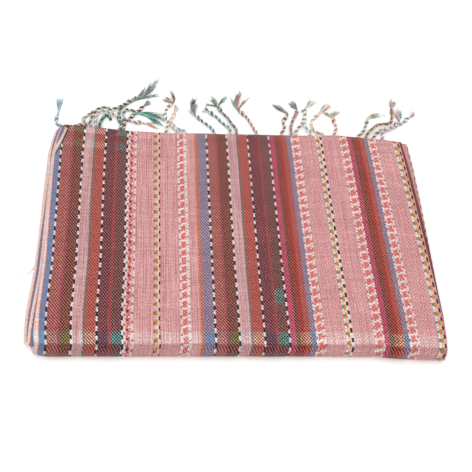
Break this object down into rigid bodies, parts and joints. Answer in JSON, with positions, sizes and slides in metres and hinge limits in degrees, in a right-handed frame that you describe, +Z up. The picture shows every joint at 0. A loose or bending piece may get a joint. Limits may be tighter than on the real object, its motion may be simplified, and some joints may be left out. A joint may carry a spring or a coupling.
{
  "type": "folded striped carrying cloth",
  "caption": "Woven striped carrying cloth with a twisted knotted fringe, folded flat into a neat stack of plies with the fringe lying out behind.",
  "frame": {"origin": "on the underside of the bottom ply, below the middle of the folded stack", "axes": "+X to the right along the folded edge, toward the free edges of the plies; +Y toward the fringe; +Z up through the stack"},
  "size_m": [0.4274, 0.3765, 0.0169],
  "materials": {
    "woven_cloth": "matte",
    "fringe_cord": "matte"
  },
  "bodies": {
    "root": {"cloth": "woven_cloth", "fringe_lower": "fringe_cord", "fringe_upper": "fringe_cord"}
  },
  "joints": []
}
